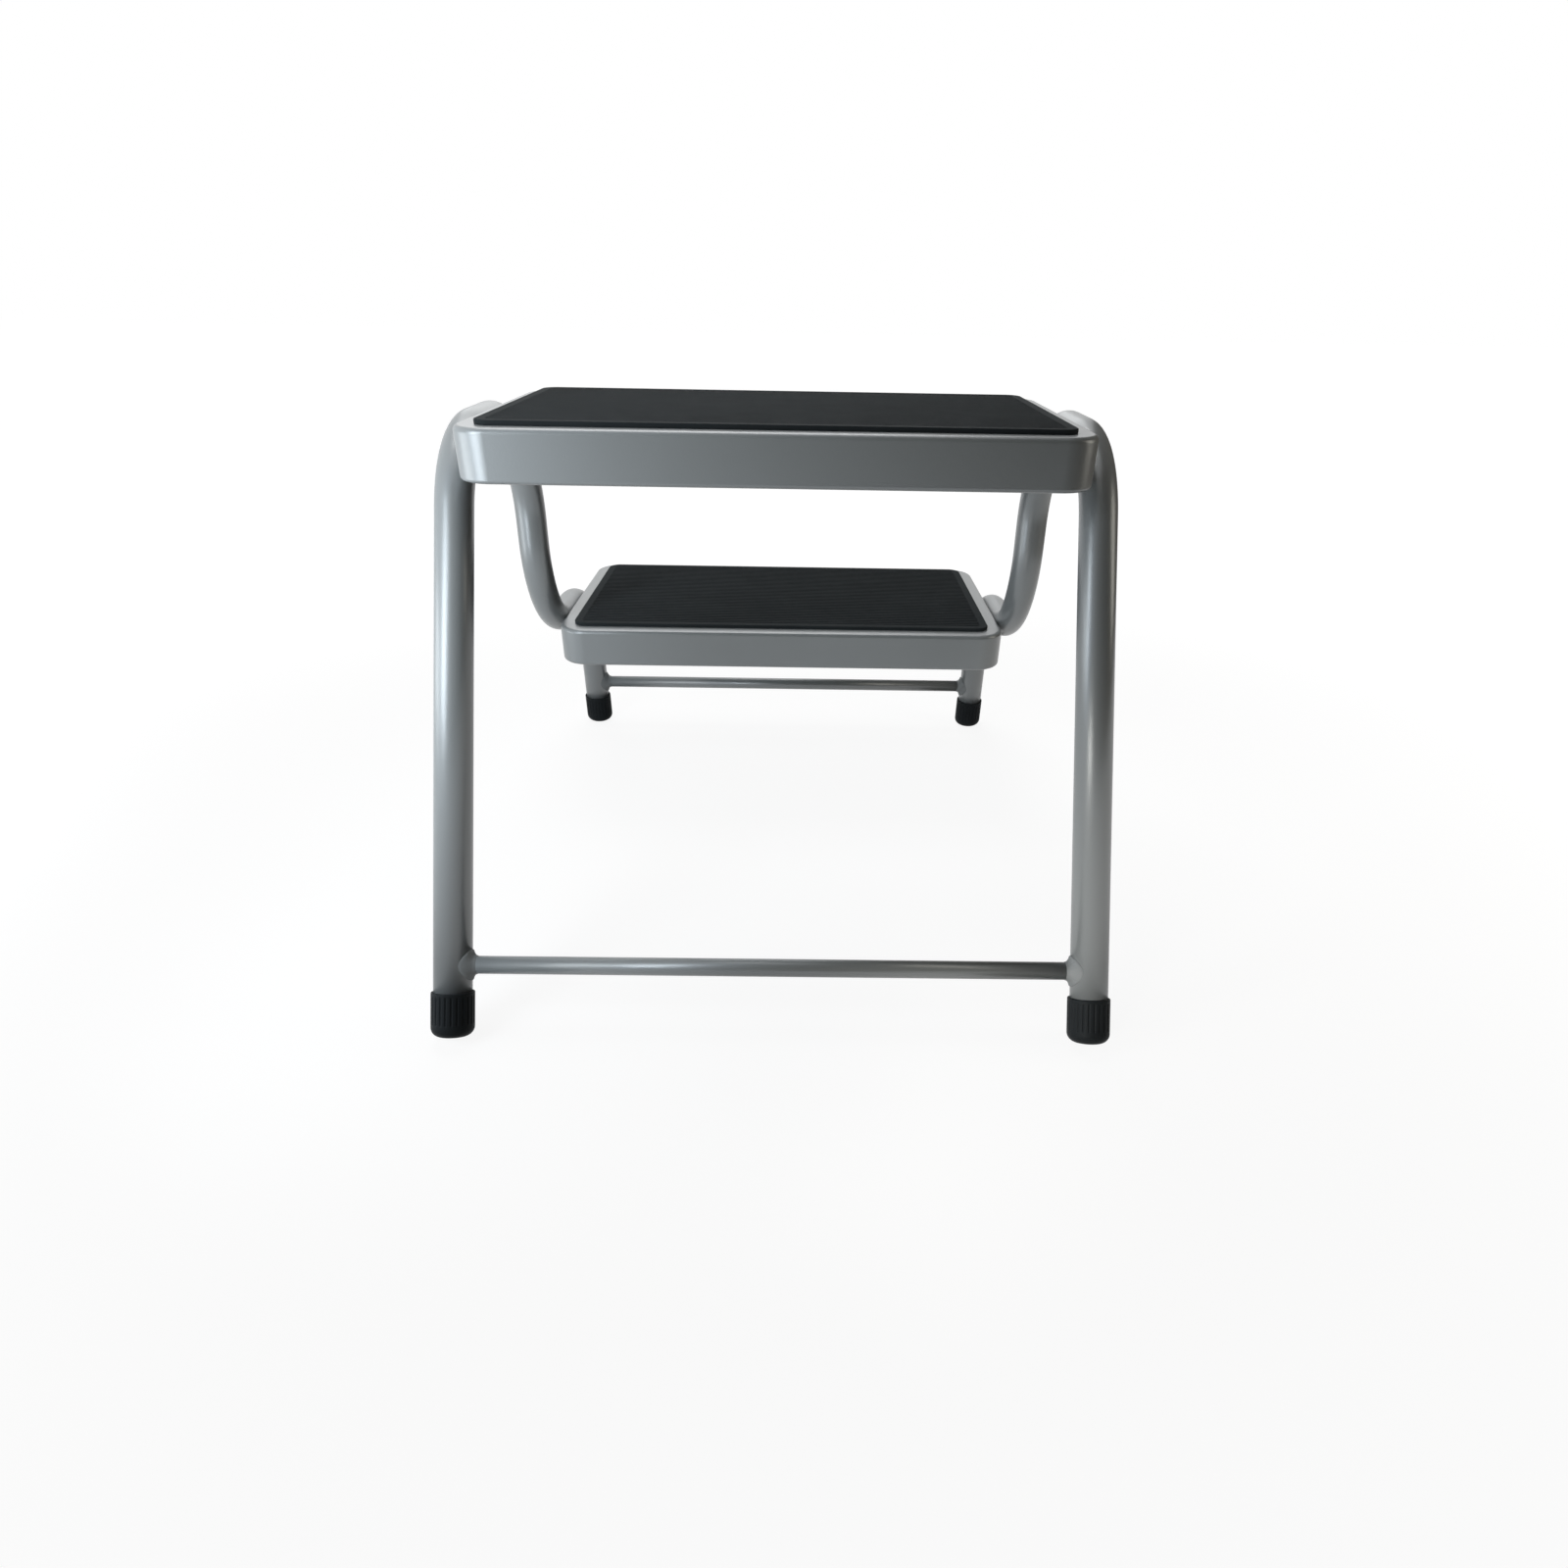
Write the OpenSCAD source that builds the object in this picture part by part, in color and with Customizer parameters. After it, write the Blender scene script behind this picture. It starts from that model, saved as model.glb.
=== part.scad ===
// Two-tread entry step: two bent side tubes carry two pressed trays with rubber mats.
// +X is to the right, +Y runs from the high tread to the low one, +Z is up.

/* [Treads] */
// Width of each tread, outside its skirt
tread_w = 400; // [340:1:460]
// Depth of each tread, outside its skirt
tread_d = 230; // [215:1:270]
// Height of the high tread's deck above the floor
upper_h = 360; // [350:1:390]
// Height of the low tread's deck above the floor
lower_h = 170; // [140:1:180]
// How far the low tread reaches in under the high one
tread_overlap = 24; // [0:1:34]
// Height of the skirt, from the deck to its lower edge
skirt_h = 32; // [28:1:36]
// Thickness of the tray's steel sheet
sheet_t = 1.2; // [1:0.1:2]
// Outer radius of the fold between deck and skirt
fold_r = 3.5; // [2.5:0.1:5]
// Radius of the tray's corners in plan
corner_r = 24; // [18:1:32]
// Radius of the curl on the skirt's lower edge
curl_r = 2.5; // [2:0.1:3]

/* [Mats] */
// Bare rim between the mat and the tray's edge
rim = 13; // [9:0.5:15]
// Thickness of the mat
mat_t = 3; // [2.5:0.1:4]
// Plain border round the ribbed field
mat_border = 7; // [5:0.5:10]
// Distance from one groove to the next
groove_pitch = 4.8; // [4:0.1:8]
// Width of a groove
groove_w = 1.8; // [1:0.1:2.4]
// Depth of a groove
groove_depth = 0.8; // [0.4:0.1:1.2]
// Radius of the mat's top edge
mat_edge_r = 0.8; // [0.4:0.1:1.2]

/* [Frame] */
// Diameter of the side tubes
tube_d = 25; // [22:0.5:28]
// Wall of the side tubes
tube_wall = 1.2; // [1:0.1:2]
// Largest bending radius of the tubes, at their centre line
bend_r = 80; // [60:1:84]
// Shortest straight left between two bends
straight_min = 12; // [6:1:18]
// Distance on the floor from the high tread's rear edge back to the rear leg's line
rear_foot_out = 141; // [130:1:160]
// Lean of the rear legs from upright, in degrees
rear_splay = 30; // [27:0.5:31]
// Distance from the low tread's front edge in to the front leg's line on the floor
front_foot_in = 27; // [20:1:36]
// Lean of the front legs from upright, in degrees
front_splay = 2; // [0:0.5:3]
// Distance from the high tread's front edge in to where the tube would turn down
drop_in = 3; // [0:0.5:10]
// Lean of the tube between the treads, in degrees
drop_lean = 4; // [0:0.5:5]

/* [Crossbars] */
// Diameter of the crossbars
bar_d = 12; // [10:0.5:14]
// Height of the crossbars' centre line above the floor
bar_h = 46; // [44:1:60]
// Leg of the weld fillet round a crossbar's end
fillet_leg = 4; // [2:0.1:5]
// Thickness of the fillet at its toes
fillet_toe = 0.3; // [0.2:0.1:0.6]

/* [Foot caps] */
// Wall of a foot cap
cap_wall = 1.5; // [1:0.1:2.5]
// Length of a foot cap
cap_l = 30; // [24:1:34]
// Thickness of a foot cap's sole
cap_sole = 5; // [3:0.5:7]
// Radius of a foot cap's lower edge
cap_edge_r = 5; // [3:0.5:6]
// Number of flutes round a foot cap
flute_n = 24; // [12:1:30]
// Radius of a flute
flute_r = 0.6; // [0.3:0.1:0.8]
// Plain wall left above and below the flutes
flute_gap = 2; // [1:0.5:3]

/* [Tray welds] */
// Depth of the bead between a tube and a skirt, below the tube's widest level
bead_depth = 14.5; // [13.5:0.5:16]
// Angle at which the bead's face leaves the tube, in degrees
bead_angle = 30; // [20:1:40]

/* [Stiffeners] */
// Width of the channel under each deck, between its webs
channel_w = 36; // [24:1:50]
// Depth of the channel
channel_h = 14; // [10:1:20]
// Width of each flange of the channel
flange_w = 12; // [8:1:16]

/* [Hidden] */
$fn = 64;

tube_r = tube_d / 2;
tube_in_r = tube_r - tube_wall;
bar_r = bar_d / 2;
cap_r = tube_r + cap_wall;
tube_x = tread_w / 2 + tube_r;
deck_x = tread_w / 2 - corner_r;
deck_y = tread_d / 2 - corner_r;

// Where a leg's line runs from its floor point to its cap's rounded lower edge
function edge_dist(splay) = (cap_edge_r + (cap_r - cap_edge_r) * sin(splay)) / cos(splay);
function cap_reach(splay) = (cap_r - cap_edge_r) * cos(splay) + cap_edge_r;

// The row's middle in Y lies half way between the rear caps' back and the low tread's front
back_reach = rear_foot_out - edge_dist(rear_splay) * sin(rear_splay) + cap_reach(rear_splay);
front_reach = 2 * tread_d - tread_overlap;
rear_edge_y = (back_reach - front_reach) / 2;
front_edge_y = rear_edge_y + front_reach;
upper_mid_y = rear_edge_y + tread_d / 2;
lower_mid_y = front_edge_y - tread_d / 2;

// The tube's centre line in the Y-Z plane, with its top flush with each deck
rear_foot = [rear_edge_y - rear_foot_out, 0];
front_foot = [front_edge_y - front_foot_in, 0];
top_z = upper_h - tube_r;
run_z = lower_h - tube_r;
drop_y = rear_edge_y + tread_d - drop_in;
path = [rear_foot,
        [rear_foot[0] + top_z * tan(rear_splay), top_z],
        [drop_y, top_z],
        [drop_y - (top_z - run_z) * tan(drop_lean), run_z],
        [front_foot[0] - run_z * tan(front_splay), run_z],
        front_foot];
last = len(path) - 1;

// Each straight runs a little way into its bends, which draw in by a hair when they are bent
lap = 1;
draw_in = 0.02;

// Length of leg that a crossbar or its fillet can reach
coped_l = bar_h + 2 * tube_d;

function unit(v) = v / norm(v);
function way(i) = unit(path[i + 1] - path[i]);
function turn(i) = acos(way(i - 1) * way(i));
function side(i) = sign(way(i - 1)[0] * way(i)[1] - way(i - 1)[1] * way(i)[0]);
function half_tan(i) = (i == 0 || i == last) ? 0 : tan(turn(i) / 2);
function setback(i) = tube_bend_r * half_tan(i);
function arc_start(i) = path[i] - way(i - 1) * setback(i);
function arc_end(i) = path[i] + way(i) * setback(i);

// All bends share the largest radius that leaves each straight its least length
tube_bend_r = min([bend_r, for (i = [0 : last - 1])
    (norm(path[i + 1] - path[i]) - straight_min) / (half_tan(i) + half_tan(i + 1))]);

// Where each leg's tube ends, on its cap's sole
rear_sole = edge_dist(rear_splay) - cap_edge_r + cap_sole;
front_sole = edge_dist(front_splay) - cap_edge_r + cap_sole;

// Stands a child that runs along +Z on a point of the Y-Z plane, leaning towards a direction
module along(x, p, dir) {
    translate([x, p[0], p[1]]) rotate([-atan2(dir[0], dir[1]), 0, 0]) children();
}

module ring(r_out, r_in) {
    difference() {
        circle(r_out);
        circle(r_in);
    }
}

function straight_l(i) = (arc_start(i + 1) - arc_end(i)) * way(i)
    - (i == 0 ? rear_sole : 0) - (i == last - 1 ? front_sole : 0);

// Bar of radius r that runs up +Z and then follows the path on from its straight i;
// over is how far it runs on past the far end of the tube
module bar_from(i, r, over) {
    length = straight_l(i);
    before = i == 0 ? 0 : lap;
    after = i == last - 1 ? over : lap;
    translate([0, 0, -before]) cylinder(r = r, h = before + length + after);
    if (i < last - 1) {
        s = -side(i + 1);
        translate([0, s * tube_bend_r, length]) {
            rotate([90, 0, -90 * s]) rotate_extrude(angle = turn(i + 1))
                translate([tube_bend_r, 0]) circle(r - draw_in);
            rotate([-s * turn(i + 1), 0, 0]) translate([0, -s * tube_bend_r, 0]) bar_from(i + 1, r, over);
        }
    }
}

module side_tube(x) {
    color("silver") along(x, path[0] + way(0) * rear_sole, way(0)) difference() {
        bar_from(0, tube_r, 0);
        bar_from(0, tube_in_r, lap);
        translate([0, 0, -lap]) cylinder(r = tube_in_r, h = lap);
    }
}

// Solid stretch of a leg, for coping what is welded to it
module leg_body(x, front) {
    p = front ? front_foot : rear_foot;
    dir = front ? -way(last - 1) : way(0);
    along(x, p, dir) cylinder(r = tube_r, h = coped_l);
}

module rounded_rect(w, d, r) {
    for (sx = [-1, 1], sy = [-1, 1])
        translate([sx * (w / 2 - r), sy * (d / 2 - r)]) circle(r);
    square([w - 2 * r, d], center = true);
    square([w, d - 2 * r], center = true);
}

// Sweeps a section round a rounded rectangle: x is the distance out from the corners' centres
module sweep_round(w, d, r) {
    for (a = [0, 1])
        mirror([a, 0, 0]) translate([w / 2 - r, 0, 0]) rotate([90, 0, 0])
            linear_extrude(d - 2 * r, center = true) children();
    for (a = [0, 1])
        mirror([0, a, 0]) translate([0, d / 2 - r, 0]) rotate([90, 0, 90])
            linear_extrude(w - 2 * r, center = true) children();
    for (a = [0, 1], b = [0, 1])
        mirror([a, 0, 0]) mirror([0, b, 0]) translate([w / 2 - r, d / 2 - r, 0])
            rotate_extrude(angle = 90) children();
}

// Section of the pressed sheet: deck, fold, skirt and the curl turned in at its lower edge
module tray_section() {
    fold_c = [corner_r - fold_r, -fold_r];
    curl_c = [corner_r - curl_r, curl_r - skirt_h];
    translate([0, -sheet_t]) square([corner_r - fold_r, sheet_t]);
    intersection() {
        translate(fold_c) ring(fold_r, fold_r - sheet_t);
        translate(fold_c) square(fold_r);
    }
    translate([corner_r - sheet_t, curl_r - skirt_h]) square([sheet_t, skirt_h - curl_r - fold_r]);
    intersection() {
        translate(curl_c) ring(curl_r, curl_r - sheet_t);
        translate(curl_c - [0, curl_r]) square(curl_r);
    }
    translate(curl_c - [curl_r, curl_r]) square([curl_r, sheet_t]);
}

module tray(mid_y, deck_z) {
    color("silver") translate([0, mid_y, deck_z]) {
        sweep_round(tread_w, tread_d, corner_r) tray_section();
        translate([-deck_x, -deck_y, -sheet_t]) cube([2 * deck_x, 2 * deck_y, sheet_t]);
    }
}

// Section of the mat's border, with its rounded top edge
module mat_section(r) {
    square([r, mat_t - mat_edge_r]);
    square([r - mat_edge_r, mat_t]);
    translate([r - mat_edge_r, mat_t - mat_edge_r]) circle(mat_edge_r);
}

module mat(mid_y, deck_z) {
    w = tread_w - 2 * rim;
    d = tread_d - 2 * rim;
    r = corner_r - rim;
    field_w = w - 2 * mat_border;
    field_d = d - 2 * mat_border;
    grooves = floor((field_d - groove_w) / groove_pitch) + 1;
    first_y = -(grooves - 1) * groove_pitch / 2;
    color([0.13, 0.14, 0.14]) translate([0, mid_y, deck_z]) difference() {
        union() {
            sweep_round(w, d, r) mat_section(r);
            translate([r - w / 2, r - d / 2, 0]) cube([w - 2 * r, d - 2 * r, mat_t]);
        }
        translate([0, 0, mat_t - groove_depth]) linear_extrude(mat_t) intersection() {
            rounded_rect(field_w, field_d, r - mat_border);
            for (i = [0 : grooves - 1])
                translate([0, first_y + i * groove_pitch]) square([w, groove_w], center = true);
        }
    }
}

// Folded channel across the underside of a deck
module stiffener(mid_y, deck_z) {
    length = tread_w - 2 * corner_r;
    half = channel_w / 2;
    color("silver") translate([0, mid_y, deck_z - sheet_t]) rotate([90, 0, 90])
        linear_extrude(length, center = true) for (a = [0, 1]) mirror([a, 0]) {
            translate([half, -sheet_t]) square([flange_w, sheet_t]);
            translate([half, -channel_h]) square([sheet_t, channel_h]);
            translate([0, -channel_h]) square([half + sheet_t, sheet_t]);
        }
}

function bar_y(front) = front ? front_foot[0] - bar_h * tan(front_splay)
                              : rear_foot[0] + bar_h * tan(rear_splay);

module crossbar(front) {
    color("silver") difference() {
        translate([0, bar_y(front), bar_h]) rotate([0, 90, 0])
            cylinder(r = bar_r, h = 2 * tube_x, center = true);
        for (s = [-1, 1]) leg_body(s * tube_x, front);
    }
}

// Concave fillet of weld metal round a crossbar's end, coped to the leg
module bar_weld(s, front) {
    foot_x = tube_x - tube_r;
    hollow = fillet_leg + fillet_toe;
    hollow_r = norm([hollow - fillet_toe, hollow - fillet_leg]);
    color("silver") difference() {
        translate([s * foot_x, bar_y(front), bar_h]) rotate([0, -s * 90, 0])
            rotate_extrude() translate([bar_r, 0]) difference() {
                translate([0, -tube_r]) square([fillet_leg, tube_r + fillet_leg]);
                translate([hollow, hollow]) circle(hollow_r);
            }
        leg_body(s * tube_x, front);
    }
}

// Bead in the groove between a tube's straight and the skirt beside it
module tray_weld(s, i) {
    from = arc_end(i);
    length = norm(arc_start(i + 1) - from);
    color("silver") translate([s * tread_w / 2, from[0] + length, from[1]]) rotate([90, 0, 0])
        linear_extrude(length) mirror([s < 0 ? 1 : 0, 0]) difference() {
            polygon([[0, 0], [0, -bead_depth], [tube_r * (1 - sin(bead_angle)), -tube_r * cos(bead_angle)]]);
            translate([tube_r, 0]) circle(tube_r);
        }
}

module foot_cap(s, front) {
    p = front ? front_foot : rear_foot;
    dir = front ? -way(last - 1) : way(0);
    sole = (front ? front_sole : rear_sole) - cap_sole;
    color([0.09, 0.09, 0.09]) along(s * tube_x, p + dir * sole, dir) difference() {
        rotate_extrude() difference() {
            union() {
                square([cap_r - cap_edge_r, cap_l]);
                translate([0, cap_edge_r]) square([cap_r, cap_l - cap_edge_r]);
                intersection() {
                    translate([cap_r - cap_edge_r, cap_edge_r]) circle(cap_edge_r);
                    square(cap_r);
                }
            }
            translate([-cap_r, cap_sole]) square([cap_r + tube_r, cap_l]);
            translate([-cap_r, 0]) square([cap_r, cap_l]);
        }
        for (i = [0 : flute_n - 1]) rotate([0, 0, i * 360 / flute_n])
            translate([cap_r, 0, cap_edge_r + flute_gap])
                cylinder(r = flute_r, h = cap_l - cap_edge_r - 2 * flute_gap, $fn = 16);
    }
}

side_tube(-tube_x);  // side_tube_left
side_tube(tube_x);  // side_tube_right
tray(upper_mid_y, upper_h);  // upper_tray
tray(lower_mid_y, lower_h);  // lower_tray
mat(upper_mid_y, upper_h);  // upper_mat
mat(lower_mid_y, lower_h);  // lower_mat
stiffener(upper_mid_y, upper_h);  // upper_stiffener
stiffener(lower_mid_y, lower_h);  // lower_stiffener
crossbar(false);  // rear_crossbar
crossbar(true);  // front_crossbar
bar_weld(-1, false);  // rear_bar_weld_left
bar_weld(1, false);  // rear_bar_weld_right
bar_weld(-1, true);  // front_bar_weld_left
bar_weld(1, true);  // front_bar_weld_right
tray_weld(-1, 1);  // upper_tray_weld_left
tray_weld(1, 1);  // upper_tray_weld_right
tray_weld(-1, 3);  // lower_tray_weld_left
tray_weld(1, 3);  // lower_tray_weld_right
foot_cap(-1, false);  // rear_left_cap
foot_cap(1, false);  // rear_right_cap
foot_cap(-1, true);  // front_left_cap
foot_cap(1, true);  // front_right_cap
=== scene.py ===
import math

import bmesh
import bpy
from bpy.props import FloatProperty, FloatVectorProperty, IntProperty, PointerProperty
from mathutils import Matrix, Vector


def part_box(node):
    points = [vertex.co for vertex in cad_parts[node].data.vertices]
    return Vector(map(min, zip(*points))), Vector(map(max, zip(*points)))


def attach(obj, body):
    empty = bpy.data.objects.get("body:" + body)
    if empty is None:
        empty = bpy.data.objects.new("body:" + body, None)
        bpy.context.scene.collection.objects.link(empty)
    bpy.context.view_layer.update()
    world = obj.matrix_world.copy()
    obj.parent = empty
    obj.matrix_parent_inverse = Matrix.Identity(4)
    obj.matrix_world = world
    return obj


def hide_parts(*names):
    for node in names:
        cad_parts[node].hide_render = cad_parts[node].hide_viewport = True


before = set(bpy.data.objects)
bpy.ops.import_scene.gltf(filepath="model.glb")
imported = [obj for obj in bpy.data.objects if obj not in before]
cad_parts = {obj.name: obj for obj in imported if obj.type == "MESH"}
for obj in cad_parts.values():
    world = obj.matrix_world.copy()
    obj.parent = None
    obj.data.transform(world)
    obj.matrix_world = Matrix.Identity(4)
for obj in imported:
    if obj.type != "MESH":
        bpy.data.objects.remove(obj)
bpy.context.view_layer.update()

bl_info = {
    "name": "Caravan Entry Step",
    "version": (1, 0, 0),
    "blender": (4, 5, 0),
    "location": "View3D > Sidebar > Entry Step",
    "description": "Dresses the two-tread entry step: tubes, trays, mats, welds and foot caps",
    "category": "Object",
}

# Names and sides
BODY = "root"
UP = Vector((0, 0, 1))
PREFIX = "entry_step_"
LEVELS = ("upper", "lower")
HANDS = ((-1, "left"), (1, "right"))
LEGS = ((False, "rear"), (True, "front"))

# Side tubes: where the centre line meets the floor, how far each straight leans from upright, and
# how far the drop's upper corner stands in from the front of the high tray
REAR_FOOT_Y, FRONT_FOOT_Y = -0.284845, 0.265155
REAR_LEAN, DROP_LEAN, FRONT_LEAN = (math.radians(a) for a in (30, 4, 2))
DROP_INSET = 0.003

# Mesh steps, and the distance within which points or levels count as one
TUBE_SIDES, BEND_STEPS = 64, 40
BAR_SIDES = 48
TRAY_CORNER_STEPS, MAT_CORNER_STEPS = 24, 16
FILLET_STEPS = 96
CAP_SIDES = 240
SCREEN_STEPS = 48
BEAD_STEP = 0.0006
NEAR = 1e-6

# Small forms: where a section starts from a corner's centre, how deep a crossbar's ends go into
# the legs and a rib's into the border, the lip of a foot cap as steps in from its outside and down
# from its top, and how far down its bore's rings lie
SECTION_START = 0.002
BAR_SINK = 0.003
RIB_BURY = 0.0002
CAP_LIP = ((0, 0.0007), (0.0002, 0.0002), (0.0007, 0), (0.0012, 0.0002))
CAP_BORE_RINGS = (0.0008, 0.004)

# Stage: place, target, width and height, power, colour and spread in degrees of each lamp
LAMPS = {
    "key_lamp": ((-0.42, -0.42, 0.375), (-0.15, -0.1, 0.26), (0.19, 0.44), 0.82,
                 (0.86, 0.94, 1.0), 100),
    "low_lamp": ((-0.02, -0.55, 0.11), (0.18, -0.27, 0.07), (0.14, 0.12), 0.08,
                 (1.0, 0.98, 0.93), 50),
    "right_lamp": ((0.95, -0.12, 0.5), (0.2, -0.1, 0.28), (0.3, 0.5), 1.2,
                   (1.0, 0.95, 0.85), 180),
    "side_lamp": ((-1.0, -0.25, 0.15), (-0.15, -0.1, 0.08), (0.5, 0.4), 2.2,
                  (0.9, 0.96, 1.0), 180),
    "back_lamp": ((-0.2, 1.3, 0.95), (0, 0, 0.2), (1.2, 0.6), 3, (0.97, 0.99, 1.0), 180),
    "top_lamp": ((-0.2, 0.55, 1.45), (0, 0, 0.2), (1.0, 0.8), 8, (1, 1, 1), 180),
}
FLOOR_SIZE = 9
# Distances from the middle over which the floor's glow rises from its painted shade near the step
# to full
FLOOR_SHADE_FADE = (0.45, 1.3)
SCREEN_FROM, SCREEN_TO = math.radians(-60), math.radians(150)
SCREEN_PROFILE = ((1.35, 0.002), (1.35, 0.9), (1.15, 1.3), (0.5, 1.6))
SCREEN_GREYS = ((0.0, 1.0), (0.15, 0.65), (0.25, 0.25), (0.4, 0.12), (0.5, 0.07), (1.0, 0.05))
WORLD_GLOW = 0.05

# Camera: yaw, pitch and roll in degrees; focal length and centre in pixels of the picture
CAMERA_PLACE = (0.01368, -0.76400, 0.44006)
CAMERA_TURN = (0.730, 31.488, -1.060)
PICTURE, FOCAL, CENTRE = 1600, 972.41, (820.83, 878.26)
SENSOR = 36


def size(name, description, default):
    """A length in metres."""
    return FloatProperty(name=name, description=description, default=default, min=0,
                         unit="LENGTH", precision=4)


def colour(name, description, default):
    """A linear colour."""
    return FloatVectorProperty(name=name, description=description, default=default, size=3,
                               min=0, max=1, subtype="COLOR")


# Sizes and colours that a user would change
class EntryStepTreads(bpy.types.PropertyGroup):
    width: size("Width", "Width of each tread, outside its skirt", 0.4)
    depth: size("Depth", "Depth of each tread, outside its skirt", 0.23)
    corner: size("Corner radius", "Radius of the tray's corners in plan", 0.024)
    skirt: size("Skirt", "Height of the skirt, from the deck to its lower edge", 0.032)
    sheet: size("Sheet", "Thickness of the tray's steel sheet", 0.0012)
    fold: size("Fold radius", "Outer radius of the fold between deck and skirt", 0.0035)
    curl: size("Curl radius", "Radius of the curl on the skirt's lower edge", 0.0025)
    channel_width: size("Channel width", "Width of the channel under a deck, inside", 0.036)
    channel_depth: size("Channel depth", "Depth of the channel under a deck", 0.014)
    flange: size("Flange", "Width of each flange of the channel", 0.012)


class EntryStepMats(bpy.types.PropertyGroup):
    rim: size("Rim", "Bare rim between the mat and the tray's edge", 0.013)
    thickness: size("Thickness", "Thickness of the mat", 0.003)
    border: size("Border", "Plain border round the ribbed field", 0.007)
    pitch: size("Rib pitch", "Distance from one groove to the next", 0.0048)
    groove: size("Groove width", "Width of a groove between two ribs", 0.0018)
    groove_depth: size("Groove depth", "Depth of a groove between two ribs", 0.0008)
    edge: size("Edge radius", "Radius of the mat's top edge", 0.0008)


class EntryStepFrame(bpy.types.PropertyGroup):
    tube: size("Tube diameter", "Diameter of the side tubes", 0.025)
    bend: size("Bend radius", "Bending radius of the tubes at their centre line", 0.08)
    bar: size("Crossbar diameter", "Diameter of the crossbars", 0.012)
    bar_height: size("Crossbar height", "Height of the crossbars' centre line", 0.046)
    fillet: size("Fillet leg", "Leg of the weld fillet round a crossbar's end", 0.004)
    cap_wall: size("Cap wall", "Wall of a foot cap", 0.0015)
    cap_length: size("Cap length", "Length of a foot cap", 0.03)
    cap_sole: size("Cap sole", "Thickness of a foot cap's sole", 0.005)
    cap_edge: size("Cap edge radius", "Radius of a foot cap's lower edge", 0.0065)
    flutes: IntProperty(name="Flutes", description="Number of flutes round a foot cap",
                        default=24, min=1)
    flute: size("Flute radius", "Radius of a flute", 0.0006)


class EntryStepColours(bpy.types.PropertyGroup):
    coat: colour("Silver coat", "Silver powder coat on all steel parts", (0.28, 0.295, 0.3))
    mat: colour("Mat rubber", "Rubber of the tread mats", (0.026, 0.03, 0.032))
    cap: colour("Cap rubber", "Rubber of the foot caps", (0.021, 0.024, 0.026))
    floor: colour("Floor", "Studio floor", (0.15, 0.15, 0.15))


def settings(name):
    """The scene's own property group of this name."""
    return getattr(bpy.context.scene, PREFIX + name)


# The tubes' path
def corner_points():
    """The tube's centre line in the Y-Z plane as corners, from the rear floor point on."""
    r = settings("frame").tube / 2
    deck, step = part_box("upper_tray")[1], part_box("lower_tray")[1]
    top, run = deck.z - r, step.z - r
    drop_y = deck.y - DROP_INSET
    corners = ((REAR_FOOT_Y, 0), (REAR_FOOT_Y + top * math.tan(REAR_LEAN), top),
               (drop_y, top), (drop_y - (top - run) * math.tan(DROP_LEAN), run),
               (FRONT_FOOT_Y - run * math.tan(FRONT_LEAN), run), (FRONT_FOOT_Y, 0))
    return [Vector((0, y, z)) for y, z in corners]


def leg(front):
    """A leg's floor point and its upward direction."""
    path = corner_points()
    foot, knee = (path[5], path[4]) if front else (path[0], path[1])
    return foot, (knee - foot).normalized()


def tube_x(side):
    """The distance of a side tube's centre line from the middle, signed by its side."""
    return side * (settings("treads").width / 2 + settings("frame").tube / 2)


def sole_rise(front):
    """Length along a leg from its floor point to the underside of its cap."""
    f = settings("frame")
    lean = math.acos(leg(front)[1].z)
    flat = f.tube / 2 + f.cap_wall - f.cap_edge
    return (f.cap_edge + flat * math.sin(lean)) / math.cos(lean) - f.cap_edge


# Node helpers
def node(tree, kind, at, inputs=None, **values):
    """Adds a node with these settings; each input gets a value, or the socket that feeds it."""
    n = tree.nodes.new(kind)
    n.location = at
    for key, value in values.items():
        setattr(n, key, value)
    for key, value in (inputs or {}).items():
        if isinstance(value, bpy.types.NodeSocket):
            tree.links.new(value, n.inputs[key])
        else:
            n.inputs[key].default_value = value
    return n


def emptied(owner):
    """The node tree of a material or world, with nothing in it."""
    owner.use_nodes = True
    owner.node_tree.nodes.clear()
    return owner.node_tree


def new_group(name, inputs, outputs):
    """A shader node group with named number sockets, and its input node's outputs."""
    tree = bpy.data.node_groups.new(name, "ShaderNodeTree")
    for label, default in inputs.items():
        socket = tree.interface.new_socket(name=label, in_out="INPUT",
                                           socket_type="NodeSocketFloat")
        socket.default_value = default
    for label in outputs:
        tree.interface.new_socket(name=label, in_out="OUTPUT", socket_type="NodeSocketFloat")
    tree.interface.new_socket(name="Normal", in_out="OUTPUT", socket_type="NodeSocketVector")
    return tree, node(tree, "NodeGroupInput", (-900, 0)).outputs


def noise(tree, at, source, scale, detail, roughness=0.5):
    """Noise over a position; its value comes back."""
    return node(tree, "ShaderNodeTexNoise", at, {
        "Vector": source, "Scale": scale, "Detail": detail, "Roughness": roughness,
    }).outputs["Fac"]


def bumped(tree, height, depth):
    """The normal of a surface with this relief."""
    return node(tree, "ShaderNodeBump", (300, 200),
                {"Distance": depth, "Height": height}).outputs["Normal"]


def spread(tree, at, source, low, high, start=0.0, stop=1.0, **values):
    """Maps start to stop onto low to high."""
    return node(tree, "ShaderNodeMapRange", at, {
        "Value": source, "From Min": start, "From Max": stop, "To Min": low, "To Max": high,
    }, **values).outputs[0]


def tinted(tree, at, base, factor):
    """A base colour times a value."""
    return node(tree, "ShaderNodeVectorMath", at, {0: base, "Scale": factor},
                operation="SCALE").outputs[0]


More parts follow.
